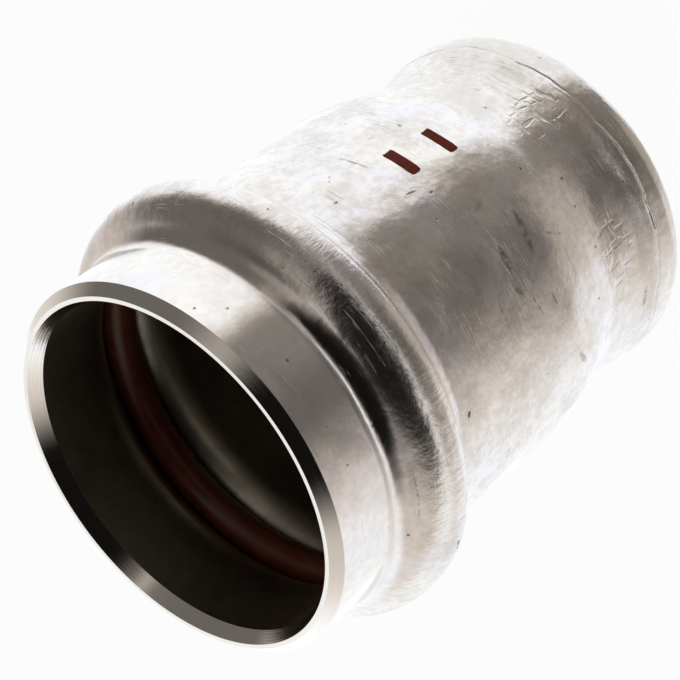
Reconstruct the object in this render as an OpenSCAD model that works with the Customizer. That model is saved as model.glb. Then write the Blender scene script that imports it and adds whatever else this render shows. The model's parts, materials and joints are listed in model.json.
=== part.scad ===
// Press fit end cap for a round tube: a formed steel socket with a closed end and a seal ring.
// Millimetres, +Z up. The cap stands on its closed end at the origin, with its mouth at the top.
// The wall is one profile, revolved: every curve of the outer skin is repeated one wall further in.

/* [Tube] */
// Outside diameter of the tube that the socket takes
tube_od = 22; // [15:0.5:35]
// Radial room between the tube and the bore of the socket
tube_clearance = 0.1; // [0.05:0.05:0.4]

/* [Wall] */
// Thickness of the formed wall
wall = 1.3; // [0.9:0.05:1.6]
// Thickness of the flat closed end
end_wall = 1.3; // [0.8:0.1:2.4]

/* [Seal] */
// Diameter of the round section of the seal ring
seal_section = 2.2; // [1.8:0.1:4]
// Radial room between the seal ring and the tube before pressing
seal_tube_gap = 0.05; // [0.02:0.01:0.15]
// Room between the seal ring and the bead around it
seal_seat_gap = 0.05; // [0.02:0.01:0.2]

/* [Socket] */
// Length of the plain collar from the mouth to the foot of the bead
collar_len = 4.9; // [3:0.1:10]
// Outside radius of the fillet at each foot of the bead
bead_fillet = 1.5; // [0.2:0.05:2]
// Length of the tube guide from the bead to the shoulder
guide_len = 10; // [4:0.1:25]

/* [Mouth rim] */
// Width of the flat land on the front of the rim
rim_land = 0.34; // [0.2:0.02:0.5]
// Radial width of the lead-in bevel inside the mouth
lead_in_width = 0.38; // [0.1:0.02:0.4]
// Depth of the lead-in bevel along the axis
lead_in_len = 0.92; // [0.4:0.02:2]
// Depth of the outer bevel along the axis
rim_bevel_len = 0.65; // [0.2:0.05:1.5]

/* [Shoulder and waist] */
// Radial drop from the socket to the waist, which stops the tube
shoulder_drop = 1.25; // [0.8:0.05:2.5]
// Radius of the outward curve at the top of the shoulder
shoulder_curve = 10.4; // [4:0.2:16]
// Radius of the inward curve at the foot of the shoulder
waist_curve = 8.1; // [3:0.1:14]
// Straight length of the waist
waist_len = 0.9; // [0.2:0.1:4]

/* [Closed end] */
// Radial rise from the waist to the rim of the closed end
flare_rise = 0.45; // [0.2:0.05:1]
// Length of the flare between the waist and the end band
flare_len = 3.55; // [2.5:0.05:8]
// Straight length of the end band above its rounded edge
end_band_len = 0.15; // [0.05:0.05:3]
// Outside radius of the rounded edge of the closed end
end_round = 0.85; // [0.3:0.05:1.6]
// Inside radius of the corner of the closed end
end_inner_round = 0.4; // [0.2:0.05:1]
// Height of the forming crease above the closed end
crease_height = 2.8; // [2.2:0.1:4]
// Width of the forming crease
crease_width = 0.3; // [0.1:0.05:0.5]

/* [Hidden] */
$fn = 128;

steel_grey = [0.74, 0.73, 0.71];
seal_brown = [0.33, 0.12, 0.08];

// Radii of the socket
tube_r = tube_od / 2;
bore_r = tube_r + tube_clearance;
socket_r = bore_r + wall;

// Seal ring, and the bead that wraps it at one wall's thickness
seal_r = seal_section / 2;
seal_centre_r = tube_r + seal_tube_gap + seal_r;
bead_curve = seal_r + seal_seat_gap + wall;
foot_centre_r = socket_r + bead_fillet;
foot_span = bead_curve + bead_fillet;
foot_reach = sqrt(pow(foot_span, 2) - pow(foot_centre_r - seal_centre_r, 2));

// Shoulder: two arcs that meet where both have turned by the same angle
waist_r = socket_r - shoulder_drop;
shoulder_angle = acos(1 - shoulder_drop / (shoulder_curve + waist_curve));
shoulder_len = (shoulder_curve + waist_curve) * sin(shoulder_angle);

// Flare: two equal arcs that rise from the waist to the end band
end_r = waist_r + flare_rise;
flare_curve = (pow(flare_len, 2) + pow(flare_rise, 2)) / (4 * flare_rise);
flare_angle = asin(flare_len / (2 * flare_curve));

// Heights, stacked from the closed end up to the mouth
band_z = max(end_round, end_wall + end_inner_round) + end_band_len;
flare_z = band_z + flare_len;
waist_z = flare_z + waist_len;
shoulder_z = waist_z + shoulder_len;
rear_foot_z = shoulder_z + guide_len;
bead_z = rear_foot_z + foot_reach;
front_foot_z = bead_z + foot_reach;
mouth_z = front_foot_z + collar_len;

// The bore cuts through the mouth by this much
cut_through = 1;

// Curves that meet in a smooth line run into each other by this much, so that each ends cleanly on the next
overlap = 0.0005;
// Length of the triangle that cuts a slice out of its circle, in radii of the circle
slice_reach = 2.1;
// How far a slice opens past each of its ends, in shares of the angle at which its overlap runs out
slice_spread = 1.5;

// Point at a distance and an angle from a centre
function polar(centre, radius, angle) = centre + radius * [cos(angle), sin(angle)];

// Outside radius of the flare at a height
function flare_radius(z) =
    z <= band_z ? end_r :
    z <= band_z + flare_len / 2 ? end_r - flare_curve + sqrt(pow(flare_curve, 2) - pow(z - band_z, 2)) :
    z <= flare_z ? waist_r + flare_curve - sqrt(pow(flare_curve, 2) - pow(flare_z - z, 2)) :
    waist_r;

// Pie slice of a circle between two angles under 120 degrees apart, run into its neighbours at both ends
module sector(centre, radius, from, to) {
    far = slice_reach * radius;
    spread = slice_spread * acos(1 - overlap / radius);
    intersection() {
        translate(centre) circle(radius + overlap);
        polygon([centre, polar(centre, far, from - spread), polar(centre, far, to + spread)]);
    }
}

// Web between the bore line and the bead, hollowed by the fillet at each foot
module bead_web(depth) {
    difference() {
        polygon([
            [0, rear_foot_z],
            [foot_centre_r, rear_foot_z],
            [seal_centre_r, bead_z],
            [foot_centre_r, front_foot_z],
            [0, front_foot_z]
        ]);
        for (foot_z = [rear_foot_z, front_foot_z]) {
            translate([foot_centre_r, foot_z]) circle(bead_fillet + depth + overlap);
        }
    }
}

// Half section of the cap at a depth below its outer skin, from a floor up to the points of its rim
module half_section(depth, floor_z, corner, rim) {
    band_r = end_r - depth;
    flare_mid = polar([end_r - flare_curve, band_z], flare_curve - depth, flare_angle);
    shoulder_mid = polar([socket_r - shoulder_curve, shoulder_z], shoulder_curve - depth, -shoulder_angle);
    difference() {
        union() {
            polygon(concat(
                [[0, floor_z], [band_r - corner, floor_z], [band_r, floor_z + corner], [band_r, band_z]],
                [flare_mid, [waist_r - depth, flare_z], [waist_r - depth, waist_z]],
                [shoulder_mid, [socket_r - depth, shoulder_z]],
                rim
            ));
            translate([band_r - corner, floor_z + corner]) circle(corner);
            sector([end_r - flare_curve, band_z], flare_curve - depth, 0, flare_angle);
            sector([socket_r - shoulder_curve, shoulder_z], shoulder_curve - depth, -shoulder_angle, 0);
            translate([seal_centre_r, bead_z]) circle(bead_curve - depth);
            bead_web(depth);
        }
        sector([waist_r + flare_curve, flare_z], flare_curve + depth, 180, 180 + flare_angle);
        sector([waist_r + waist_curve, waist_z], waist_curve + depth, 180 - shoulder_angle, 180);
    }
}

// Outer skin, with the bevel outside the mouth
module outer_section() {
    rim = [
        [socket_r, mouth_z - rim_bevel_len],
        [bore_r + lead_in_width + rim_land, mouth_z],
        [0, mouth_z]
    ];
    half_section(0, 0, end_round, rim);
}

// Inner skin, with the lead-in bevel inside the mouth
module inner_section() {
    rim = [
        [bore_r, mouth_z - lead_in_len],
        [bore_r + lead_in_width, mouth_z],
        [bore_r + lead_in_width, mouth_z + cut_through],
        [0, mouth_z + cut_through]
    ];
    half_section(wall, end_wall, end_inner_round, rim);
}

// Formed steel shell: collar, bead, tube guide, shoulder, waist and closed end in one piece
module fitting_body() {
    color(steel_grey) rotate_extrude() difference() {
        outer_section();
        inner_section();
        translate([flare_radius(crease_height), crease_height]) circle(d = crease_width);
    }
}

// Rubber seal ring of round section, seated in the bead
module seal_ring() {
    color(seal_brown) rotate_extrude() translate([seal_centre_r, bead_z]) circle(seal_r);
}

fitting_body();
seal_ring();
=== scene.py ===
"""Looks of a press fit end cap: a formed steel shell, a rubber seal ring and two printed bars.

The file is laid out as an add-on and run as a script. Lengths are in metres, in the frame of the solids:
the cap stands on its closed end at the origin, with its mouth at the top. Its near side faces -Y.
"""

import json
import math
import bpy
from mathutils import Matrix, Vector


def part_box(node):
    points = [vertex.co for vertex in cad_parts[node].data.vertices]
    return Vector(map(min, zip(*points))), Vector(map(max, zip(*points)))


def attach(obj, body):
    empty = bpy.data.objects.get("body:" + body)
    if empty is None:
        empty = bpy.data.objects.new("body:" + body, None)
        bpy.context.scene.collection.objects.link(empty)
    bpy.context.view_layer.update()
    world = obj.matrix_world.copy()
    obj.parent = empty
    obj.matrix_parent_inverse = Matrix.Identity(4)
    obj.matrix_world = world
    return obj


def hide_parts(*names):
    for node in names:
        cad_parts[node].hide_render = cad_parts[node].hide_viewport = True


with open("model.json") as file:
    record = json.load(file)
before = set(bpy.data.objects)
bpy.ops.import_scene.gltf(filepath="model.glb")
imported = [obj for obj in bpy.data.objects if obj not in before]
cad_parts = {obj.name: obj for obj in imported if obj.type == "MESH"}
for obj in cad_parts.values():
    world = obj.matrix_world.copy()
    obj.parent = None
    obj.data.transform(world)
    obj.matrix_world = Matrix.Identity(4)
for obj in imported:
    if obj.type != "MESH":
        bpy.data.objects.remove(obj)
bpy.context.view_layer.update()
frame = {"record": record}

from types import SimpleNamespace

import bpy
import numpy as np
from bpy.props import FloatProperty, FloatVectorProperty, IntProperty, PointerProperty
from mathutils import Matrix, Vector

bl_info = {
    "name": "Press fit end cap",
    "version": (1, 0, 0),
    "blender": (4, 5, 0),
    "location": "View3D > Sidebar > End cap",
    "description": "Makes the shell, the seal ring, the printed bars and the stage of a press fit end cap",
    "category": "Add Mesh",
}

SHELL_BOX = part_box("fitting_body")
SEAL_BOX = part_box("seal_ring")
SOCKET = next(m for m in frame["record"]["mounts"] if m["name"] == "tube_socket")
SEAL_RADIUS = (SEAL_BOX[1].z - SEAL_BOX[0].z) / 2
SEAL_CENTRE = SEAL_BOX[1].x - SEAL_RADIUS
SEAL_HEIGHT = (SEAL_BOX[0].z + SEAL_BOX[1].z) / 2

MM = 0.001
BODY = "root"
IMAGE_SIDE = 680
SENSOR_WIDTH = 36.0


# Properties


def length(name, description, default):
    """A property for a length in metres."""
    return FloatProperty(name=name, description=description, default=default, unit="LENGTH", precision=5)


def colour(name, description, default):
    """A property for a linear colour."""
    return FloatVectorProperty(
        name=name, description=description, default=default, subtype="COLOR", size=3, min=0, max=1
    )


def share(name, description, default):
    """A property for a share from 0 to 1."""
    return FloatProperty(
        name=name, description=description, default=default, min=0, max=1, subtype="FACTOR"
    )


def level(name, description, default):
    """A property for a brightness, where 1 is white."""
    return FloatProperty(name=name, description=description, default=default, min=0)


def turn(name, description, degrees):
    """A property for an angle, given in degrees."""
    return FloatProperty(
        name=name, description=description, default=math.radians(degrees), subtype="ANGLE", unit="ROTATION"
    )


class CapSizes(bpy.types.PropertyGroup):
    """Sizes of the shell and the ring; what the solids measure is read from them."""

    bore_radius: length("Bore radius", "Inside radius of the socket", SOCKET["dims"]["r_mm"] * MM)
    wall: length("Wall", "Thickness of the formed wall", 1.3 * MM)
    mouth_height: length("Mouth height", "Height of the rim above the closed end", SHELL_BOX[1].z)
    crest_radius: length("Crest radius", "Largest radius of the bead", SHELL_BOX[1].x)
    seal_radius: length("Seal section radius", "Radius of the seal ring's round section", SEAL_RADIUS)
    seal_centre: length("Seal centre", "Radius of the middle of the seal's section", SEAL_CENTRE)
    bead_height: length("Bead height", "Height of the middle of the bead", SEAL_HEIGHT)
    bead_fillet: length("Bead fillet", "Radius of the fillet at each foot of the seal's groove", 2.8 * MM)
    front_curve: length("Front curve", "Outside radius of the bead's fuller front flank", 3.0 * MM)
    front_fillet: length("Front fillet", "Outside radius of the fillet at the bead's front foot", 1.75 * MM)
    rear_curve: length("Rear curve", "Outside radius of the bead's steeper rear flank", 1.5 * MM)
    rear_fillet: length("Rear fillet", "Outside radius of the fillet at the bead's rear foot", 2.0 * MM)
    rim_land: length("Rim land", "Width of the flat land on the front of the rim", 0.28 * MM)
    lead_in_width: length("Lead-in width", "Radial width of the bevel inside the mouth", 0.42 * MM)
    lead_in_length: length("Lead-in length", "Depth of the bevel inside the mouth", 0.92 * MM)
    rim_bevel: length("Rim bevel", "Depth of the bevel outside the mouth", 0.65 * MM)
    shoulder_drop: length("Shoulder drop", "Radial drop from the socket to the waist", 1.25 * MM)
    shoulder_curve: length("Shoulder curve", "Radius of the outward curve of the shoulder", 10.4 * MM)
    waist_curve: length("Waist curve", "Radius of the inward curve of the shoulder", 8.1 * MM)
    waist_length: length("Waist length", "Straight length of the waist", 0.9 * MM)
    flare_rise: length("Flare rise", "Radial rise from the waist to the closed end", 0.45 * MM)
    flare_length: length("Flare length", "Length of the flare", 3.55 * MM)
    flare_start: length("Flare start", "Height at which the flare leaves the end band", 1.85 * MM)
    end_wall: length("End wall", "Thickness of the closed end", 1.3 * MM)
    end_round: length("End round", "Outside radius of the edge of the closed end", 1.6 * MM)
    end_inner_round: length("End inner round", "Inside radius of the corner of the closed end", 0.4 * MM)
    crease_height: length("Crease height", "Height of the forming crease", 2.8 * MM)
    crease_width: length("Crease width", "Width of the forming crease", 0.3 * MM)
    crease_depth: length("Crease depth", "Depth of the forming crease", 0.05 * MM)
    waviness: length("Waviness", "Height of the waves that forming left in the skin", 0.016 * MM)
    around: IntProperty(name="Steps around", description="Points around the axis", default=320, min=32)


class CapLooks(bpy.types.PropertyGroup):
    """Colours and finishes of the pieces."""

    steel: colour("Steel", "Colour of the formed steel", (0.84, 0.785, 0.73))
    steel_cool: colour("Bluish steel", "Colour of the steel with a bluish tint", (0.80, 0.76, 0.765))
    steel_dull: colour("Dull steel", "Colour of the steel where it is dull", (0.70, 0.64, 0.585))
    steel_pit: colour("Pits", "Colour of pits and dark specks", (0.07, 0.055, 0.05))
    # Colour of the dark marks, which are partly rubbed places and partly painted shade
    smudge: colour("Smudges", "Colour of rubbed and scratched places", (0.26, 0.215, 0.19))
    rim: colour("Rim", "Colour of the turned rim", (0.88, 0.84, 0.79))
    # The colour inside is darker than the outside steel: painted shade of the hollow
    bore: colour("Bore", "Colour of the dull steel inside", (0.50, 0.475, 0.40))
    seal: colour("Seal", "Colour of the rubber seal", (0.15, 0.036, 0.019))
    ink: colour("Ink", "Colour of the printed bars", (0.25, 0.040, 0.022))
    body_roughness: share("Body roughness", "Roughness of the guide, the waist and the end", 0.25)
    collar_roughness: share("Collar roughness", "Roughness of the collar", 0.17)
    rim_roughness: share("Rim roughness", "Roughness of the turned rim", 0.06)
    bore_roughness: share("Bore roughness", "Roughness inside", 0.36)
    seal_roughness: share("Seal roughness", "Roughness of the rubber seal", 0.33)
    ink_roughness: share("Ink roughness", "Roughness of the printed bars", 0.6)


class StageSetup(bpy.types.PropertyGroup):
    """Camera, floor and light."""

    focal_pixels: FloatProperty(
        name="Focal length", description="Focal length in pixels of an image 680 wide", default=2869.3
    )
    mouth_pixel: FloatVectorProperty(
        name="Mouth pixel",
        description="Where the middle of the mouth lies in the image",
        size=2,
        default=(171.2, 476.5),
    )
    mouth_distance: length("Mouth distance", "Distance of the mouth along the camera's view", 164.3 * MM)
    axis_tilt: turn("Axis tilt", "Angle between the view and the axis of the cap", 54.14)
    axis_slope: turn("Axis slope", "Rise of the axis in the image, from the mouth to the closed end", 37.71)
    floor_radius: length("Floor radius", "Radius of the floor", 2.0)
    floor_colour: colour("Floor", "Colour of the floor", (0.92, 0.92, 0.92))
    floor_white: share("Floor white", "Share of plain white in the floor where it is looked at", 0.955)
    tent_level: level("Tent level", "Brightness of the white tent around the cap", 1.25)
    dusk_level: level("Dusk level", "Brightness of the tent's shaded side", 0.15)
    dark_level: level("Dark level", "Brightness of the open side, behind the camera", 0.006)
    top_level: level("Top level", "Brightness of the top of the tent", 0.05)
    left_level: level("Left level", "Brightness of the tent's left side, next to the open side", 1.1)
    roof_level: level("Roof level", "Brightness of the small light in the tent's top", 0.9)
    streak_level: level("Streak level", "Brightness of the streak of light up the tent's shaded side", 0.50)
    strip_level: level("Strip level", "Brightness of the strip of light behind the table", 1.3)
    table_level: level("Table level", "Brightness of the table in front of the cap", 0.24)
    near_level: level("Near level", "Brightness of the table close to the cap", 0.50)
    lamp_power: FloatProperty(
        name="Lamp power", description="Power of the soft lamp in watts", default=0.4, unit="POWER"
    )
    lamp_size: length("Lamp size", "Diameter of the soft lamp", 0.4)
    lamp_place: FloatVectorProperty(
        name="Lamp place", description="Where the soft lamp hangs", default=(0.05, 0.40, 0.27), unit="LENGTH"
    )


# Shader maths


class Signal:
    """A socket that carries a value over a surface. Arithmetic on it adds Math nodes."""

    def __init__(self, sheet, socket):
        self.sheet = sheet
        self.socket = socket

    def out(self, key):
        """Another output of the same node, by its name or number."""
        return Signal(self.sheet, self.socket.node.outputs[key])

    def _maths(self, operation, *values):
        return self.sheet.node("ShaderNodeMath", {"operation": operation}, dict(enumerate(values)))

    def __add__(self, other):
        return self._maths("ADD", self, other)

    __radd__ = __add__

    def __sub__(self, other):
        return self._maths("SUBTRACT", self, other)

    def __rsub__(self, other):
        return self._maths("SUBTRACT", other, self)

    def __mul__(self, other):
        return self._maths("MULTIPLY", self, other)

    __rmul__ = __mul__

    def __truediv__(self, other):
        return self._maths("DIVIDE", self, other)

    def __rtruediv__(self, other):
        return self._maths("DIVIDE", other, self)

    def larger(self, other):
        return self._maths("MAXIMUM", self, other)

    def smaller(self, other):
        return self._maths("MINIMUM", self, other)


# Numbers of the sockets that take and give colours on a Mix node
MIX_FIRST = 6
MIX_SECOND = 7
MIX_RESULT = 2


class Sheet:
    """The node tree of a material or of the world."""

    def __init__(self, owner):
        owner.use_nodes = True
        self.tree = owner.node_tree
        self.tree.nodes.clear()

    def node(self, kind, settings=None, sockets=None):
        """Adds a node, makes its settings, fills or links its sockets, and gives its first output."""
        made = self.tree.nodes.new(kind)
        for name, value in (settings or {}).items():
            setattr(made, name, value)
        for key, value in (sockets or {}).items():
            if isinstance(value, Signal):
                self.tree.links.new(value.socket, made.inputs[key])
            else:
                made.inputs[key].default_value = value
        return Signal(self, made.outputs[0]) if len(made.outputs) else None

    def rise(self, value, low, high):
        """0 below low, 1 above high, and a smooth step between them."""
        return self.node(
            "ShaderNodeMapRange",
            {"interpolation_type": "SMOOTHSTEP"},
            {"Value": value, "From Min": low, "From Max": high},
        )

    def mix(self, factor, first, second):
        """A colour that goes from first to second as the factor goes from 0 to 1."""
        sockets = {"Factor": factor, MIX_FIRST: opaque(first), MIX_SECOND: opaque(second)}
        return self.node("ShaderNodeMix", {"data_type": "RGBA"}, sockets).out(MIX_RESULT)

    def where(self):
        """Object coordinates."""
        return self.node("ShaderNodeTexCoord").out("Object")

    def noise(self, size, shift=(0.0, 0.0, 0.0), detail=3.0, roughness=0.5, distortion=0.0):
        """Soft noise from 0 to 1 with waves as long as the size in mm, shifted by a number of waves.

        Three sizes stretch it along the three axes."""
        sizes = (size, size, size) if np.isscalar(size) else size
        scale = tuple(1.0 / (wave * MM) for wave in sizes)
        placed = {"Vector": self.where(), "Scale": scale, "Location": shift}
        sockets = {
            "Vector": self.node("ShaderNodeMapping", {}, placed),
            "Scale": 1.0,
            "Detail": detail,
            "Roughness": roughness,
            "Distortion": distortion,
        }
        return self.node("ShaderNodeTexNoise", {}, sockets)

    def attribute(self, name):
        """A number that the mesh carries on its points."""
        return self.node("ShaderNodeAttribute", {"attribute_name": name}).out("Fac")

    def bump(self, height, distance):
        """A normal bent by a height that counts in units of the distance."""
        return self.node("ShaderNodeBump", {}, {"Height": height, "Distance": distance, "Strength": 1.0})

    def surface(self, sockets):
        """Ends the tree of a material in a Principled shader."""
        shader = self.node("ShaderNodeBsdfPrincipled", {}, sockets)
        self.node("ShaderNodeOutputMaterial", {}, {"Surface": shader})


def opaque(tone):
    """A colour with its alpha, or the signal itself."""
    return tone if isinstance(tone, Signal) else (*tone, 1.0)


def shaded(tone, factor):
    """A colour made darker or lighter by a factor."""
    return tuple(factor * part for part in tone)


# Materials


# Dark marks, partly rubbed and scratched places and partly painted shade: height, angle from the near side,
# half length and half width in mm, turn of the length away from the axis in degrees, strength
SMUDGES = (
    (13.3, 6.0, 1.9, 0.30, 79, 0.75),
    (15.6, 9.0, 1.1, 0.38, 86, 0.85),
    (17.7, 20.9, 1.3, 0.09, 89, 0.7),
    (14.9, 26.6, 1.7, 0.11, 105, 0.8),
    (13.6, 26.0, 0.6, 0.14, 96, 0.6),
    (11.3, 11.5, 0.9, 0.14, 151, 0.5),
    (14.8, -7.0, 0.7, 0.22, 20, 0.35),
    (17.6, -21.2, 0.55, 0.10, 167, 0.9),
    (20.2, -39.7, 0.5, 0.12, 40, 0.8),
    (15.9, 18.0, 0.5, 0.20, 120, 0.6),
    (33.7, -31.6, 0.16, 0.12, 0, 1.0),
    (32.4, -25.8, 0.14, 0.12, 30, 1.0),
    (32.2, -5.3, 0.15, 0.13, 60, 1.0),
    (26.45, 64.2, 0.16, 0.75, 12, 1.0),
    (34.85, 82.5, 0.14, 0.30, 0, 1.0),
    (4.05, 54.0, 0.22, 1.10, 0, 0.55),
    (28.95, 44.0, 0.05, 2.20, 0, 0.5),
    (19.0, 62.0, 1.2, 0.10, 70, 0.6),
    (18.0, 140.0, 1.4, 0.12, 80, 0.7),
    (12.0, -130.0, 1.0, 0.25, 60, 0.6),
)
# Worn patches near the closed end: height, angle from the near side, half sizes along and round the axis
WORN_PATCHES = ((5.2, -20.0, 2.7, 2.1), (6.2, 33.0, 1.8, 3.6))
# Where the noise of the worn strokes counts as a stroke
WORN_STROKES = (0.60, 0.72)
# Heights over which the lumps of the closed end fade out, and places across over which the deeper folds do
END_FADE = (4.0 * MM, 10.0 * MM)
SIDE_FADE = (-12.0 * MM, -5.0 * MM)
# Heights of the reliefs of the steel, in units of the first value
STEEL_RELIEF = SimpleNamespace(
    unit=0.011 * MM,
    grain=0.4,
    mottle=0.85,
    lumps=4.6,
    end_lumps=1.6,
    folds=3.0,
    side_folds=3.5,
    pits=1.6,
    scuffs=0.6,
    worn=1.8,
    smudges=0.5,
)
# Share of the relief that is polished away on the collar
POLISHED_AWAY = 0.66


def oval(sheet, where, middle, along, across):
    """Square of the distance from a middle, counted in the lengths of two directions at right angles."""
    gap = sheet.node("ShaderNodeVectorMath", {"operation": "SUBTRACT"}, {0: where, 1: middle})
    total = 0.0
    for direction in (along, across):
        ends = {0: gap, 1: direction / direction.length_squared}
        part = sheet.node("ShaderNodeVectorMath", {"operation": "DOT_PRODUCT"}, ends).out("Value")
        total = part * part + total
    return total


def on_skin(radius, height, alpha):
    """A place on a wall, and the directions along the axis and round it there."""
    turned = math.radians(alpha)
    middle = Vector((-math.sin(turned) * radius, -math.cos(turned) * radius, height * MM))
    return middle, Vector((0.0, 0.0, 1.0)), Vector((-math.cos(turned), math.sin(turned), 0.0))


def smudge_mask(sheet, where, ragged, radius):
    """How strongly each place is marked, rubbed at some places and painted with shade at others: the
    strongest of ovals with ragged edges.
    """
    strongest = None
    for height, alpha, half_length, half_width, lean, strength in SMUDGES:
        middle, axial, round_it = on_skin(radius, height, alpha)
        cos, sin = math.cos(math.radians(lean)), math.sin(math.radians(lean))
        along = (axial * cos + round_it * sin) * half_length * MM
        across = (round_it * cos - axial * sin) * half_width * MM
        mask = (1.0 - sheet.rise(oval(sheet, where, middle, along, across) * ragged, 0.25, 1.0)) * strength
        strongest = mask if strongest is None else strongest.larger(mask)
    return strongest


def worn_mask(sheet, where, radius):
    """How strongly each place is worn: upright and level strokes within soft ovals."""
    patches = 0.0
    for height, alpha, half_along, half_round in WORN_PATCHES:
        middle, axial, round_it = on_skin(radius, height, alpha)
        inside = oval(sheet, where, middle, axial * half_along * MM, round_it * half_round * MM)
        patches = (1.0 - sheet.rise(inside, 0.3, 1.0)) + patches
    upright = sheet.noise((0.34, 0.34, 1.5), (0.7, 0.3, 0.9), detail=0.0)
    flat = sheet.noise((1.5, 1.5, 0.34), (0.4, 0.8, 0.2), detail=0.0)
    return patches * sheet.rise(upright, *WORN_STROKES).larger(sheet.rise(flat, *WORN_STROKES))


def steel_material(looks, cap):
    """Satin formed steel: grain, lumps, folds on the bead, scuffs, dark rubbed marks that are partly painted
    shade, pits and a smoother collar.
    """
    material = bpy.data.materials.new("formed_steel")
    sheet = Sheet(material)
    polish = sheet.attribute("polish")
    wrinkle = sheet.attribute("wrinkle")
    where = sheet.where()
    split = sheet.node("ShaderNodeSeparateXYZ", {}, {"Vector": where})
    low = 1.0 - sheet.rise(split.out("Z"), *END_FADE)
    side = 1.0 - sheet.rise(split.out("X"), *SIDE_FADE)

    tints = sheet.noise(4.5, (0.1, 0.6, 0.4), detail=2.0)
    clouds = sheet.noise(3.2, detail=4.0, roughness=0.6)
    mottle = sheet.noise(0.55, (0.3, 0.1, 0.7), detail=4.0, roughness=0.65)
    grain = sheet.noise(0.13, detail=2.0, roughness=0.6)
    lumps = sheet.noise(1.3, (0.6, 0.9, 0.3), detail=2.0)
    folds = sheet.noise((0.26, 0.26, 1.1), roughness=0.6, distortion=0.6)
    specks = sheet.noise(0.7, (0.9, 0.4, 0.2), detail=1.0)
    pits = sheet.rise(specks, 0.755, 0.79) * sheet.rise(mottle, 0.42, 0.6)
    streaks = sheet.noise((2.4, 2.4, 0.07), (0.5, 0.2, 0.1), detail=1.0, distortion=0.25)
    scuffed = sheet.noise(2.6, (0.2, 0.8, 0.5), detail=1.0)
    scuffs = sheet.rise(streaks, 0.62, 0.72) * sheet.rise(scuffed, 0.46, 0.64)
    # Dark marks: partly rubbed and scratched places, partly painted shade
    smudges = smudge_mask(sheet, where, mottle * 1.6 + 0.3, cap.socket_r) * sheet.rise(mottle, 0.38, 0.56)
    worn = worn_mask(sheet, where, cap.waist_r)

    dull = sheet.rise(clouds * 0.55 + mottle * 0.45 + low * 0.08, 0.40, 0.62) * (1.0 - 0.5 * polish)
    tone = sheet.mix(sheet.rise(tints, 0.40, 0.62), looks.steel, looks.steel_cool)
    tone = sheet.mix(dull, tone, looks.steel_dull)
    tone = sheet.mix(smudges, tone, looks.smudge)
    tone = sheet.mix(pits * 0.85, tone, looks.steel_pit)

    roughness = looks.body_roughness + polish * (looks.collar_roughness - looks.body_roughness)
    roughness = roughness + (mottle - 0.5) * 0.16 + (clouds - 0.5) * 0.16
    roughness = roughness + scuffs * 0.12 + smudges * 0.12

    rise = STEEL_RELIEF
    relief = grain * rise.grain + mottle * rise.mottle + lumps * (rise.lumps + rise.end_lumps * low)
    relief = relief + folds * wrinkle * (rise.folds + rise.side_folds * side)
    relief = relief - pits * rise.pits - scuffs * rise.scuffs - worn * rise.worn - smudges * rise.smudges
    normal = sheet.bump(relief * (1.0 - POLISHED_AWAY * polish), rise.unit)
    sheet.surface({"Base Color": tone, "Metallic": 1.0, "Roughness": roughness, "Normal": normal})
    return material


# Extra slope of the faces of the lead-in bevel, for each unit of radius
LEAD_IN_LEAN = 0.3
# Width of a turned ring on the rim, and the heights of the rings and of the flecks on them
RING_WIDTH = 0.055 * MM
RING_HEIGHT = 0.0048 * MM
FLECK_HEIGHT = 0.0007 * MM


def rim_material(looks, land_in):
    """Turned steel: fine rings round the axis. Inside the land they are steps whose faces lean up."""
    material = bpy.data.materials.new("turned_rim")
    sheet = Sheet(material)
    where = sheet.where()
    height = sheet.node("ShaderNodeSeparateXYZ", {}, {"Vector": where}).out("Z")
    flat = sheet.node("ShaderNodeVectorMath", {"operation": "MULTIPLY"}, {0: where, 1: (1.0, 1.0, 0.0)})
    radius = sheet.node("ShaderNodeVectorMath", {"operation": "LENGTH"}, {0: flat}).out("Value")
    rings = sheet.node(
        "ShaderNodeTexNoise",
        {"noise_dimensions": "1D"},
        {"W": (height - radius) / RING_WIDTH, "Scale": 1.0, "Detail": 2.0, "Roughness": 0.7},
    )
    flecks = sheet.noise(0.12, detail=2.0)
    roughness = looks.rim_roughness + rings * 0.08 + (flecks - 0.5) * 0.05
    tone = sheet.mix(sheet.rise(rings, 0.25, 0.75), looks.rim, looks.steel)
    leaning = radius.smaller(land_in) * LEAD_IN_LEAN
    normal = sheet.bump(rings * RING_HEIGHT + flecks * FLECK_HEIGHT - leaning, 1.0)
    sheet.surface({"Base Color": tone, "Metallic": 1.0, "Roughness": roughness, "Normal": normal})
    return material


def bore_material(looks):
    """Dull pickled steel inside the cap, its colour darkened as painted shade of the hollow."""
    material = bpy.data.materials.new("bore_steel_painted_shade")
    sheet = Sheet(material)
    clouds = sheet.noise(2.2, detail=4.0, roughness=0.6)
    grain = sheet.noise((0.25, 0.25, 0.12))
    tone = sheet.mix(sheet.rise(clouds, 0.3, 0.7), looks.bore, shaded(looks.bore, 0.78))
    roughness = looks.bore_roughness + (grain - 0.5) * 0.12 + (clouds - 0.5) * 0.10
    normal = sheet.bump(grain, 0.008 * MM)
    sheet.surface({"Base Color": tone, "Metallic": 1.0, "Roughness": roughness, "Normal": normal})
    return material


def seal_material(looks):
    """Smooth moulded rubber with a faint bloom."""
    material = bpy.data.materials.new("seal_rubber")
    sheet = Sheet(material)
    bloom = sheet.noise(1.6, detail=4.0, roughness=0.6)
    grain = sheet.noise(0.16, detail=2.0)
    tone = sheet.mix(sheet.rise(bloom, 0.3, 0.75), looks.seal, shaded(looks.seal, 1.35))
    roughness = looks.seal_roughness + (bloom - 0.5) * 0.2
    normal = sheet.bump(grain, 0.006 * MM)
    sheet.surface({"Base Color": tone, "Roughness": roughness, "Normal": normal})
    return material


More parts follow.
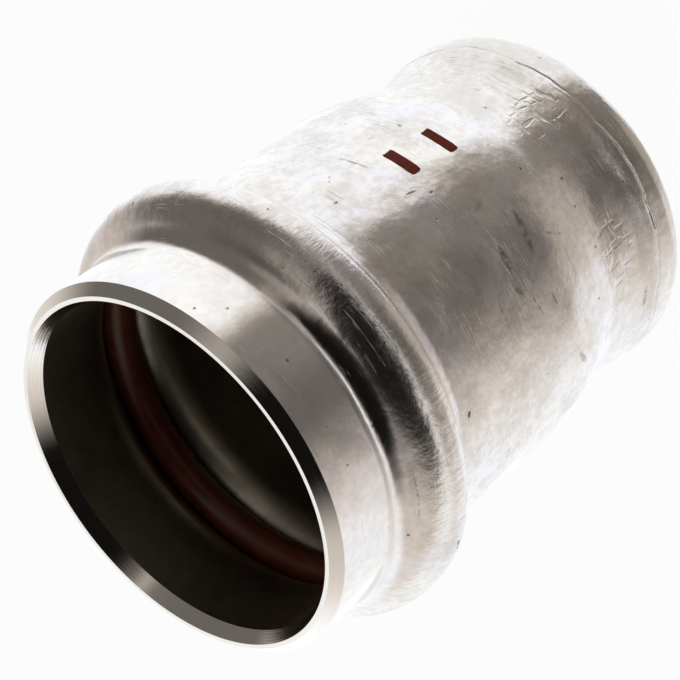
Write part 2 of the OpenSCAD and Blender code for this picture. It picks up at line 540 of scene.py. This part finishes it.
def ink_material(looks):
    """Thin printed ink, uneven in depth."""
    material = bpy.data.materials.new("printed_ink")
    sheet = Sheet(material)
    depth = sheet.noise(0.5, detail=4.0, roughness=0.65)
    tone = sheet.mix(sheet.rise(depth, 0.3, 0.75), looks.ink, shaded(looks.ink, 1.7))
    roughness = looks.ink_roughness + (depth - 0.5) * 0.3
    normal = sheet.bump(depth, 0.006 * MM)
    sheet.surface({"Base Color": tone, "Roughness": roughness, "Normal": normal, "Specular IOR Level": 0.2})
    return material


# Shapes


def work_out(sizes):
    """The radii, heights and angles of the cap's profile, from its sizes."""
    cap = SimpleNamespace()
    cap.socket_r = sizes.bore_radius + sizes.wall
    groove = (sizes.crest_radius - sizes.seal_centre - sizes.wall, sizes.bead_fillet)
    rear, front = (sizes.rear_curve, sizes.rear_fillet), (sizes.front_curve, sizes.front_fillet)
    cap.bead = bead_between(cap.socket_r, sizes.crest_radius, rear, front)
    cap.groove = bead_between(sizes.bore_radius, sizes.crest_radius - sizes.wall, groove, groove)
    cap.front_foot_z = sizes.bead_height + cap.bead[1].reach
    cap.waist_r = cap.socket_r - sizes.shoulder_drop
    curves = sizes.shoulder_curve + sizes.waist_curve
    cap.shoulder_angle = math.degrees(math.acos(1 - sizes.shoulder_drop / curves))
    cap.end_r = cap.waist_r + sizes.flare_rise
    cap.flare_curve = (sizes.flare_length**2 + sizes.flare_rise**2) / (4 * sizes.flare_rise)
    cap.flare_angle = math.degrees(math.asin(sizes.flare_length / (2 * cap.flare_curve)))
    cap.flare_z = sizes.flare_start + sizes.flare_length
    cap.waist_z = cap.flare_z + sizes.waist_length
    cap.shoulder_z = cap.waist_z + curves * math.sin(math.radians(cap.shoulder_angle))
    cap.land_in = sizes.bore_radius + sizes.lead_in_width
    cap.land_out = cap.land_in + sizes.rim_land
    return cap


def bead_between(wall_r, crest_r, rear, front):
    """The rear and the front flank of a bead, each from the radii of its curve and of its fillet.

    A flank is an arc down from the crest and a fillet up from the wall, which meet in a smooth line. It has
    the centre of its arc, the reach of its foot along the axis and its steepest angle."""
    flanks = []
    for curve, fillet in (rear, front):
        centre_r = crest_r - curve
        lean = wall_r + fillet - centre_r
        reach = math.sqrt((curve + fillet) ** 2 - lean**2)
        angle = math.degrees(math.atan2(reach, lean))
        flank = SimpleNamespace(curve=curve, fillet=fillet, centre_r=centre_r, reach=reach, angle=angle)
        flanks.append(flank)
    return flanks


def arc(centre_r, centre_z, radius, start, end, steps):
    """Points of a circle: centre plus radius times (cos t, sin t), with t from start to end in degrees."""
    t = np.radians(np.linspace(start, end, steps + 1))
    return np.column_stack((centre_r + radius * np.cos(t), centre_z + radius * np.sin(t)))


def straight(start, end, steps):
    """Points spaced evenly on the line from start to end."""
    t = np.linspace(0, 1, steps + 1)[:, None]
    return (1 - t) * np.array(start) + t * np.array(end)


def skin(sizes, cap, depth, floor_z, corner, top_z, fineness):
    """Stretches of the profile at a depth below the skin, from the axis at the closed end to the collar."""

    def steps(count):
        return max(2, round(count * fineness))

    band_r = cap.end_r - depth
    waist_r = cap.waist_r - depth
    wall_r = cap.socket_r - depth
    flare, flare_angle = cap.flare_curve, cap.flare_angle
    shoulder, waist, drop_angle = sizes.shoulder_curve, sizes.waist_curve, cap.shoulder_angle
    middle = sizes.bead_height
    rear, front = cap.groove if depth else cap.bead
    rear_z, front_z = middle - rear.reach, middle + front.reach
    return [
        straight((0, floor_z), (band_r - corner, floor_z), steps(6)),
        arc(band_r - corner, floor_z + corner, corner, -90, 0, steps(12)),
        straight((band_r, floor_z + corner), (band_r, sizes.flare_start), steps(6)),
        arc(cap.end_r - flare, sizes.flare_start, flare - depth, 0, flare_angle, steps(38)),
        arc(cap.waist_r + flare, cap.flare_z, flare + depth, 180 + flare_angle, 180, steps(10)),
        straight((waist_r, cap.flare_z), (waist_r, cap.waist_z), steps(5)),
        arc(cap.waist_r + waist, cap.waist_z, waist + depth, 180, 180 - drop_angle, steps(12)),
        arc(cap.socket_r - shoulder, cap.shoulder_z, shoulder - depth, -drop_angle, 0, steps(12)),
        straight((wall_r, cap.shoulder_z), (wall_r, rear_z), steps(26)),
        arc(wall_r + rear.fillet, rear_z, rear.fillet, 180, 180 - rear.angle, steps(14)),
        arc(rear.centre_r, middle, rear.curve, -rear.angle, 0, steps(20)),
        arc(front.centre_r, middle, front.curve, 0, front.angle, steps(24)),
        arc(wall_r + front.fillet, front_z, front.fillet, front.angle - 180, -180, steps(14)),
        straight((wall_r, front_z), (wall_r, top_z), steps(14)),
    ]


OUTSIDE, RIM, INSIDE = range(3)
# Share of the outer skin's steps that the inner one has
INNER_FINENESS = 0.36


def shell_profile(sizes, cap):
    """The whole profile, from the axis below the closed end, out and over the rim, to the axis inside.

    Gives its points and, for each step between two points, whether it is outside, on the rim or inside."""
    bevel_z = sizes.mouth_height - sizes.rim_bevel
    lead_in_z = sizes.mouth_height - sizes.lead_in_length
    outer = skin(sizes, cap, 0.0, 0.0, sizes.end_round, bevel_z, 1.0)
    inner = skin(sizes, cap, sizes.wall, sizes.end_wall, sizes.end_inner_round, lead_in_z, INNER_FINENESS)
    rim = [
        straight((cap.socket_r, bevel_z), (cap.land_out, sizes.mouth_height), 4),
        straight((cap.land_out, sizes.mouth_height), (cap.land_in, sizes.mouth_height), 3),
        straight((cap.land_in, sizes.mouth_height), (sizes.bore_radius, lead_in_z), 5),
    ]
    stretches = outer + rim + [points[::-1] for points in reversed(inner)]
    zones = [OUTSIDE] * len(outer) + [RIM] * len(rim) + [INSIDE] * len(inner)
    points = np.vstack([stretches[0][:1]] + [stretch[1:] for stretch in stretches])
    zone = np.concatenate([np.full(len(s) - 1, z) for s, z in zip(stretches, zones)])
    return points, zone


def angle_of(alpha):
    """Angle about +Z of a place that lies alpha degrees from the near side, counted towards -X."""
    return math.radians(-90.0 - alpha)


def ripple(theta, waves, seed):
    """Sum of sines round the axis, one for each (count, height), with seeded phases."""
    phases = np.random.default_rng(seed).uniform(0, 2 * np.pi, len(waves))
    counts, heights = np.array(waves).T
    return (heights * np.sin(theta[:, None] * counts + phases)).sum(axis=1)


# Seeds of the waves' phases
SKIN_SEED = 7
CREASE_SEED = 3
FADE_SEED = 11
INK_SEED = 5
# Waves round the axis that make the crease wander: how many, and how high
CREASE_WAVES = ((2, 0.10 * MM), (5, 0.08 * MM), (11, 0.07 * MM), (23, 0.04 * MM), (47, 0.025 * MM))
# Waves round the axis that make the crease fade: how many, and their share of its depth
CREASE_FADES = ((3, 0.12), (7, 0.13), (13, 0.10))
# Mean share of the crease's depth, and the spread of its groove as a share of its width
CREASE_MEAN = 0.65
CREASE_SPREAD = 0.28
# Shares of the waviness that are left on the collar and on the bead's crest
COLLAR_WAVES = 0.7
CREST_WAVES = 0.3
# Waves of the formed skin: waves round the axis, waves for each metre of height, share of the waviness
SKIN_WAVES = (
    (2, 40, 1.0), (3, 95, 0.8), (5, -130, 0.7), (7, 170, 0.6), (9, -60, 0.6),
    (12, 210, 0.6), (15, -280, 0.45), (19, 150, 0.45), (24, -90, 0.4), (21, 330, 0.25),
)
# Shallow dents: height in mm, angle from the near side, radius and depth in mm
DENTS = (
    (15.4, 8.0, 1.3, 0.030),
    (13.4, 12.0, 0.9, 0.030),
    (17.8, -21.0, 0.5, 0.018),
    (20.2, 24.0, 1.6, 0.022),
    (11.0, -4.0, 1.4, 0.025),
    (18.6, 150.0, 1.2, 0.025),
    (32.2, -5.0, 0.8, 0.010),
    (31.4, 34.0, 1.4, 0.012),
)


def skin_waves(z, turned):
    """Sum of the waves of the formed skin over heights and angles: sines with seeded phases."""
    phases = np.random.default_rng(SKIN_SEED).uniform(0, 2 * np.pi, len(SKIN_WAVES))
    return sum(
        amount * np.sin(count * turned + 2 * np.pi * rate * z + phase)
        for (count, rate, amount), phase in zip(SKIN_WAVES, phases)
    )


def skin_relief(points, theta, sizes, cap):
    """How far the skin stands out along its normal, over height and angle.

    Slow waves are a sum of sines of angle and height. They fade out before the closed end and the rim, and
    on the bead's crest they only go inwards, so that it stays within its radius. Dents are Gaussian dips.
    The crease is a Gaussian groove whose height wanders round the axis and whose depth comes and goes."""
    z = points[:, 1][:, None]
    around = theta[None, :]
    waves = skin_waves(z, around)
    ends = np.clip(2 * z / sizes.end_round - 1, 0, 1)
    ends = ends * np.clip((sizes.mouth_height - 2 * sizes.rim_bevel - z) / sizes.rim_bevel, 0, 1)
    collar = np.where(z < sizes.bead_height, 1.0, COLLAR_WAVES)
    highest = sum(amount for _, _, amount in SKIN_WAVES)
    on_bead = np.clip(1.1 - np.abs(z - sizes.bead_height) / (1.2 * sizes.front_curve), 0, 1)
    inward = CREST_WAVES * (waves - highest)
    relief = sizes.waviness * (waves + (inward - waves) * on_bead) * ends * collar
    for height, alpha, radius, deep in DENTS:
        turned = np.angle(np.exp(1j * (around - angle_of(alpha)))) * cap.socket_r
        distance = np.hypot(z - height * MM, turned) / (radius * MM)
        relief = relief - deep * MM * np.exp(-(distance**2))
    crease_z = sizes.crease_height + ripple(theta, CREASE_WAVES, CREASE_SEED)[None, :]
    depth = sizes.crease_depth * (CREASE_MEAN + ripple(theta, CREASE_FADES, FADE_SEED))[None, :]
    groove = np.exp(-(((z - crease_z) / (CREASE_SPREAD * sizes.crease_width)) ** 2))
    return relief - depth * groove


def turned_mesh(name, rings, closed_rows=False):
    """Mesh of a grid of rings: rows of points, each a closed ring. The first and the last row are poles
    unless the rows close on themselves, and a pole is one point with a fan of triangles."""
    rows, columns = rings.shape[:2]
    if closed_rows:
        points = rings.reshape(-1, 3)
        start = np.arange(rows)
        end = (start + 1) % rows
        offset = 0
    else:
        points = np.vstack((rings[0, :1], rings[1:-1].reshape(-1, 3), rings[-1, :1]))
        start, end = np.arange(rows - 3), np.arange(1, rows - 2)
        offset = 1
    here = np.arange(columns)
    there = (here + 1) % columns

    def index(row, column):
        return offset + row[:, None] * columns + column[None, :]

    around = (index(start, here), index(start, there), index(end, there), index(end, here))
    quads = np.stack(around, axis=-1).reshape(-1, 4)
    corners, sides = [quads.ravel()], [np.full(len(quads), 4)]
    if not closed_rows:
        last = len(points) - 1
        top = last - columns
        low_fan = np.column_stack((np.zeros(columns, int), 1 + there, 1 + here))
        high_fan = np.column_stack((top + here, top + there, np.full(columns, last)))
        corners += [low_fan.ravel(), high_fan.ravel()]
        sides += [np.full(2 * columns, 3)]
    corners, sides = np.concatenate(corners), np.concatenate(sides)
    mesh = bpy.data.meshes.new(name)
    mesh.vertices.add(len(points))
    mesh.vertices.foreach_set("co", points.astype(np.float32).ravel())
    mesh.loops.add(len(corners))
    mesh.loops.foreach_set("vertex_index", corners.astype(np.int32))
    mesh.polygons.add(len(sides))
    mesh.polygons.foreach_set("loop_start", (np.cumsum(sides) - sides).astype(np.int32))
    mesh.polygons.foreach_set("use_smooth", np.ones(len(sides), bool))
    mesh.update(calc_edges=True)
    if mesh.validate():
        raise RuntimeError(f"The mesh of {name} has faulty faces")
    return mesh


def add_piece(name, mesh, materials, stands_for=()):
    """Puts a mesh into the scene as a piece that rides on the cap."""
    for material in materials:
        mesh.materials.append(material)
    piece = bpy.data.objects.new(name, mesh)
    bpy.context.scene.collection.objects.link(piece)
    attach(piece, BODY)
    if stands_for:
        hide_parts(*stands_for)


# Angle past which an edge of the shell stays sharp
SHARP_ANGLE = math.radians(15)
# Rise of the bead above the wall at which its skin is fully wrinkled
WRINKLE_RISE = 0.9 * MM
# How far before the bead's front foot the collar's polish starts, and the length over which it comes in
POLISH_START = 2.2 * MM
POLISH_LENGTH = 1.2 * MM


def make_shell(sizes, looks):
    """The formed shell: its profile turned about the axis, with the relief of its skin along the normal.

    Its points carry how wrinkled the skin is, which fades towards the bead's front, and how polished."""
    cap = work_out(sizes)
    points, zone = shell_profile(sizes, cap)
    theta = np.linspace(0, 2 * np.pi, sizes.around, endpoint=False)
    run = np.gradient(points, axis=0)
    normal = np.column_stack((run[:, 1], -run[:, 0]))
    normal /= np.linalg.norm(normal, axis=1)[:, None]
    outside = np.append(zone == OUTSIDE, False)
    relief = skin_relief(points, theta, sizes, cap) * outside[:, None]
    radius = points[:, :1] + normal[:, :1] * relief
    height = points[:, 1:] + normal[:, 1:] * relief
    rings = np.stack((radius * np.cos(theta), radius * np.sin(theta), height), axis=-1)
    mesh = turned_mesh("formed_shell", rings)
    mesh.set_sharp_from_angle(angle=SHARP_ANGLE)

    quad_zone = np.repeat(zone[1:-1], sizes.around)
    fan_zone = np.repeat(zone[[0, -1]], sizes.around)
    mesh.polygons.foreach_set("material_index", np.concatenate((quad_zone, fan_zone)).astype(np.int32))

    z = points[:, 1]
    on_bead = np.clip((points[:, 0] - cap.socket_r) / WRINKLE_RISE, 0, 1)
    facing = np.clip((z - sizes.bead_height) / sizes.front_curve, -1, 1)
    wrinkle = on_bead * np.clip(1.15 - 1.1 * np.maximum(facing, -0.2), 0, 1) * outside
    polish = np.clip((z - cap.front_foot_z + POLISH_START) / POLISH_LENGTH, 0, 1)
    for label, values in (("wrinkle", wrinkle), ("polish", polish)):
        inner = np.repeat(values[1:-1], sizes.around)
        spread = np.concatenate((values[:1], inner, values[-1:])).astype(np.float32)
        mesh.attributes.new(label, "FLOAT", "POINT").data.foreach_set("value", spread)
    materials = [steel_material(looks, cap), rim_material(looks, cap.land_in), bore_material(looks)]
    add_piece("formed_shell", mesh, materials, ["fitting_body"])


SEAL_STEPS = 40


def make_seal(sizes, looks):
    """The seal ring: a torus, a circle about the middle of the section carried round the axis."""
    theta = np.linspace(0, 2 * np.pi, sizes.around, endpoint=False)
    section = np.linspace(0, 2 * np.pi, SEAL_STEPS, endpoint=False)
    radius = (sizes.seal_centre + sizes.seal_radius * np.cos(section))[:, None]
    height = (sizes.bead_height + sizes.seal_radius * np.sin(section))[:, None]
    grids = np.broadcast_arrays(radius * np.cos(theta), radius * np.sin(theta), height)
    mesh = turned_mesh("seal", np.stack(grids, axis=-1), closed_rows=True)
    add_piece("seal", mesh, [seal_material(looks)], ["seal_ring"])


# Printed bars on the guide: height in mm and angle from the near side of the middle, half sizes in mm along
# the axis and round it
INK_BARS = ((16.0, -30.5, 0.42, 1.20), (12.9, -29.0, 0.36, 1.20))
INK_THICKNESS = 0.012 * MM
INK_STEPS = 96
# Power that makes a bar's outline squarish, and the waves that make it ragged: how many, and how high
INK_POWER = 0.22
INK_WAVES = ((9, 0.016), (17, 0.014), (31, 0.010))
# Rings of a bar, from the middle of its top to the middle of its underside: shares of the outline, and of
# the thickness
INK_REACH = (0.0, 0.35, 0.7, 0.9, 0.97, 1.0, 0.9, 0.0)
INK_RISE = (1.0, 1.0, 1.0, 1.0, 0.8, -0.4, -1.0, -1.0)


def make_ink(sizes, looks):
    """Two printed bars: flat pads with a super-ellipse outline, bent round the guide.

    A pad is a grid of rings, from the middle of its top to its edge, and back to the middle of its
    underside, which lies just below the skin. The outline is a little ragged."""
    cap = work_out(sizes)
    t = np.linspace(0, 2 * np.pi, INK_STEPS, endpoint=False)
    ragged = 1 + ripple(t, INK_WAVES, INK_SEED)
    across = np.sign(np.cos(t)) * np.abs(np.cos(t)) ** INK_POWER * ragged
    along = np.sign(np.sin(t)) * np.abs(np.sin(t)) ** INK_POWER * ragged
    reach = np.array(INK_REACH)[:, None]
    rise = np.array(INK_RISE)[:, None] * INK_THICKNESS
    for number, (height, alpha, half_along, half_round) in enumerate(INK_BARS, 1):
        z = height * MM + reach * along * half_along * MM
        turned = angle_of(alpha) + reach * across * half_round * MM / cap.socket_r
        radius = cap.socket_r + sizes.waviness * skin_waves(z, turned) + rise
        rings = np.stack((radius * np.cos(turned), radius * np.sin(turned), z), axis=-1)
        mesh = turned_mesh(f"ink_bar_{number}", rings)
        add_piece(f"ink_bar_{number}", mesh, [ink_material(looks)])


# Stage


FLOOR_SIDES = 96
CLIP_START = 0.005


def floor_material(stage):
    """Matt pale floor. Looked at, it is nearly white, and its matt share keeps the shadow of the cap."""
    material = bpy.data.materials.new("pale_floor")
    sheet = Sheet(material)
    rays = sheet.node("ShaderNodeLightPath")
    mirrored = rays.out("Is Glossy Ray").larger(rays.out("Is Transmission Ray"))
    seen = rays.out("Is Camera Ray").larger(mirrored)
    matt = sheet.node("ShaderNodeBsdfDiffuse", {}, {"Color": opaque(stage.floor_colour)})
    white = sheet.node("ShaderNodeEmission", {}, {"Color": (1.0, 1.0, 1.0, 1.0), "Strength": 1.0})
    both = sheet.node("ShaderNodeMixShader", {}, {0: seen * stage.floor_white, 1: matt, 2: white})
    sheet.node("ShaderNodeOutputMaterial", {}, {"Surface": both})
    return material


# Direction of the small light in the tent's top
ROOF = Vector((0.101, -0.027, 0.9945))
# Shares by which the tent is dimmer high up, high on the left, behind the cap and low on the left
HIGH_DIM = 0.15
HIGH_LEFT_DIM = 0.35
BEHIND_DIM = 0.4
LOW_LEFT_DIM = 0.18
# Degrees by which the table's edges shift deep down, along its band and straight below
DEEP_SHIFT = 28.0
BAND_SHIFT = 14.0
STEEP_SHIFT = 30.0
# How much darker the table is along its band and in its shade
BAND_DARKER = 0.045
SHADE_DARKER = 0.085
# How much brighter the shaded side is along its seam
SEAM_BRIGHTER = 0.25
# Tints of the dimmer light and of the brightest
WARM_LIGHT = (1.05, 0.985, 0.925)
COOL_LIGHT = (0.95, 1.0, 1.05)


def make_world(stage):
    """A white tent by direction: its front is open and dark, its right side and its top are shaded, and the
    table in front of the cap is grey. The camera sees plain white.

    Bearings are in degrees, 0 towards -Y and counted towards +X. Heights are the sine of the elevation."""
    world = bpy.data.worlds.new("tent")
    bpy.context.scene.world = world
    sheet = Sheet(world)
    split = sheet.node("ShaderNodeSeparateXYZ", {}, {"Vector": sheet.node("ShaderNodeTexCoord")})
    x, y, z = (split.out(axis) for axis in "XYZ")
    bearing = sheet.node("ShaderNodeMath", {"operation": "ARCTAN2"}, {0: x, 1: y * -1.0}) * math.degrees(1)

    def within(value, fade_in, fade_out):
        """1 between two smooth fades, and 0 outside them."""
        return sheet.rise(value, *fade_in) * (1.0 - sheet.rise(value, *fade_out))

    def toward(bright, part, target):
        """A brightness brought towards a target by a part of the way."""
        return bright + part * (target - bright)

    above = sheet.rise(z, -0.36, -0.10)
    high = sheet.rise(z, 0.0, 0.4)
    deep = within(z, (-0.80, -0.70), (-0.68, -0.52))
    steep = 1.0 - sheet.rise(z, -1.0, -0.85)
    band = within(z, (-0.54, -0.44), (-0.27, -0.17))
    right = sheet.rise(bearing, 8, 34)
    left = sheet.rise(bearing, -175, -80) * (1.0 - right)
    back = sheet.rise(bearing, 118, 150) * (1.0 - sheet.rise(z, 0.62, 0.80))
    behind = sheet.rise(bearing, 112, 140) * within(z, (-0.5, -0.2), (0.35, 0.5))
    table = sheet.rise(bearing + deep * DEEP_SHIFT + band * BAND_SHIFT, -90, -15)
    table = table * (1.0 - sheet.rise(bearing - steep * STEEP_SHIFT, 34, 56)) * (1.0 - above * right)
    shade = within(bearing, (-55, -20), (-10, 14))
    near = (1.0 - sheet.rise(z, -0.86, -0.68)) * (1.0 - sheet.rise(bearing, -5, 25)) * table.larger(steep)
    strip = within(z, (-0.15, -0.10), (-0.05, 0.0)) * within(bearing, (-75, -55), (-2, 18))
    dark = within(bearing, (-92, -56), (22, 42)) * sheet.rise(z, 0.01, 0.14)
    top = sheet.rise(z, 0.6, 1.05) * (1.0 - dark)
    seam = within(bearing, (31, 40), (40, 49))
    streak = within(bearing, (15, 45), (45, 75)) * sheet.rise(z, 0.4, 0.92)
    roof = sheet.rise(x * ROOF.x + y * ROOF.y + z * ROOF.z, 0.974, 0.9945)

    bright = toward(stage.tent_level, left, stage.left_level)
    bright = bright * (1.0 - HIGH_DIM * high) * (1.0 - HIGH_LEFT_DIM * left * high)
    bright = bright * (1.0 - BEHIND_DIM * behind) * (1.0 - LOW_LEFT_DIM * left * band)
    bright = toward(bright, table, stage.table_level - BAND_DARKER * band - SHADE_DARKER * shade)
    bright = toward(bright, near, stage.near_level)
    bright = toward(bright, strip, stage.strip_level)
    bright = toward(bright, right * (1.0 - back) * above, stage.dusk_level + SEAM_BRIGHTER * seam)
    bright = toward(bright, dark, stage.dark_level)
    bright = toward(bright, top, stage.top_level)
    bright = toward(bright, streak, stage.streak_level)
    bright = toward(bright, roof, stage.roof_level)
    camera = sheet.node("ShaderNodeLightPath").out("Is Camera Ray")
    bright = toward(bright, camera, 1.0)
    tint = sheet.mix(sheet.rise(bright, 0.7, 1.2), WARM_LIGHT, COOL_LIGHT)
    tint = sheet.mix(camera, tint, (1.0, 1.0, 1.0))
    glow = sheet.node("ShaderNodeBackground", {}, {"Color": tint, "Strength": bright})
    sheet.node("ShaderNodeOutputWorld", {}, {"Surface": glow})


def make_floor(stage):
    """A round floor under the cap. The steel mirrors the tent's table in its place."""
    t = np.linspace(0, 2 * np.pi, FLOOR_SIDES, endpoint=False)
    ring = np.column_stack((np.cos(t), np.sin(t), np.zeros(FLOOR_SIDES))) * stage.floor_radius
    mesh = bpy.data.meshes.new("floor")
    mesh.from_pydata(ring.tolist(), [], [list(range(FLOOR_SIDES))])
    mesh.materials.append(floor_material(stage))
    floor = bpy.data.objects.new("floor", mesh)
    bpy.context.scene.collection.objects.link(floor)
    floor.visible_glossy = False


def make_lamp(stage):
    """One large soft lamp behind the cap."""
    light = bpy.data.lights.new("soft_lamp", "AREA")
    light.shape = "DISK"
    light.size = stage.lamp_size
    light.energy = stage.lamp_power
    lamp = bpy.data.objects.new("soft_lamp", light)
    lamp.location = stage.lamp_place
    lamp.rotation_mode = "QUATERNION"
    lamp.rotation_quaternion = (-lamp.location).to_track_quat("-Z", "Y")
    lamp.visible_glossy = False
    bpy.context.scene.collection.objects.link(lamp)


def make_camera(stage, sizes):
    """A camera that sees the mouth at its pixel, at its distance, with the axis at its tilt and slope."""
    tilt, slope = stage.axis_tilt, stage.axis_slope
    forward = Vector((0.0, math.sin(tilt), -math.cos(tilt)))
    across = Vector((1.0, 0.0, 0.0))
    upright = across.cross(forward)
    right = -math.sin(slope) * across - math.cos(slope) * upright
    up = math.cos(slope) * across - math.sin(slope) * upright
    shift_x = (stage.mouth_pixel[0] - IMAGE_SIDE / 2) / stage.focal_pixels
    shift_y = (stage.mouth_pixel[1] - IMAGE_SIDE / 2) / stage.focal_pixels
    mouth = Vector((0.0, 0.0, sizes.mouth_height))
    place = mouth - stage.mouth_distance * (forward + shift_x * right - shift_y * up)
    lens = bpy.data.cameras.new("camera")
    lens.sensor_width = SENSOR_WIDTH
    lens.lens = stage.focal_pixels / IMAGE_SIDE * SENSOR_WIDTH
    lens.clip_start = CLIP_START
    camera = bpy.data.objects.new("camera", lens)
    camera.matrix_world = Matrix.Translation(place) @ Matrix((right, up, -forward)).transposed().to_4x4()
    bpy.context.scene.collection.objects.link(camera)
    bpy.context.scene.camera = camera


# Operators


class CAP_OT_shell(bpy.types.Operator):
    """Make the formed steel shell"""

    bl_idname = "cap.shell"
    bl_label = "Formed shell"

    def execute(self, context):
        make_shell(context.scene.cap_sizes, context.scene.cap_looks)
        return {"FINISHED"}


class CAP_OT_seal(bpy.types.Operator):
    """Make the rubber seal ring"""

    bl_idname = "cap.seal"
    bl_label = "Seal ring"

    def execute(self, context):
        make_seal(context.scene.cap_sizes, context.scene.cap_looks)
        return {"FINISHED"}


class CAP_OT_ink(bpy.types.Operator):
    """Make the printed bars"""

    bl_idname = "cap.ink"
    bl_label = "Printed bars"

    def execute(self, context):
        make_ink(context.scene.cap_sizes, context.scene.cap_looks)
        return {"FINISHED"}


class CAP_OT_stage(bpy.types.Operator):
    """Make the floor, the light and the camera"""

    bl_idname = "cap.stage"
    bl_label = "Stage"

    def execute(self, context):
        stage = context.scene.cap_stage
        make_floor(stage)
        make_world(stage)
        make_lamp(stage)
        make_camera(stage, context.scene.cap_sizes)
        context.scene.view_settings.view_transform = "Standard"
        return {"FINISHED"}


class CAP_PT_panel(bpy.types.Panel):
    """Lists the steps and the sizes of the cap"""

    bl_label = "End cap"
    bl_space_type = "VIEW_3D"
    bl_region_type = "UI"
    bl_category = "End cap"

    def draw(self, context):
        for step in STEPS:
            self.layout.operator(step.bl_idname)
        for group in (context.scene.cap_sizes, context.scene.cap_looks, context.scene.cap_stage):
            column = self.layout.column()
            for name in group.__annotations__:
                column.prop(group, name)


GROUPS = (("cap_sizes", CapSizes), ("cap_looks", CapLooks), ("cap_stage", StageSetup))
STEPS = (CAP_OT_stage, CAP_OT_shell, CAP_OT_seal, CAP_OT_ink)


def register():
    """Registers the classes and hangs the properties on the scene."""
    for _, group in GROUPS:
        bpy.utils.register_class(group)
    for step in (*STEPS, CAP_PT_panel):
        bpy.utils.register_class(step)
    for name, group in GROUPS:
        setattr(bpy.types.Scene, name, PointerProperty(type=group))


def unregister():
    """Takes the properties and the classes away again."""
    for name, _ in GROUPS:
        delattr(bpy.types.Scene, name)
    for step in (CAP_PT_panel, *reversed(STEPS)):
        bpy.utils.unregister_class(step)
    for _, group in reversed(GROUPS):
        bpy.utils.unregister_class(group)


def main():
    """Makes the stage and the pieces in order."""
    register()
    bpy.ops.cap.stage()
    bpy.ops.cap.shell()
    bpy.ops.cap.seal()
    bpy.ops.cap.ink()


if __name__ == "__main__":
    main()
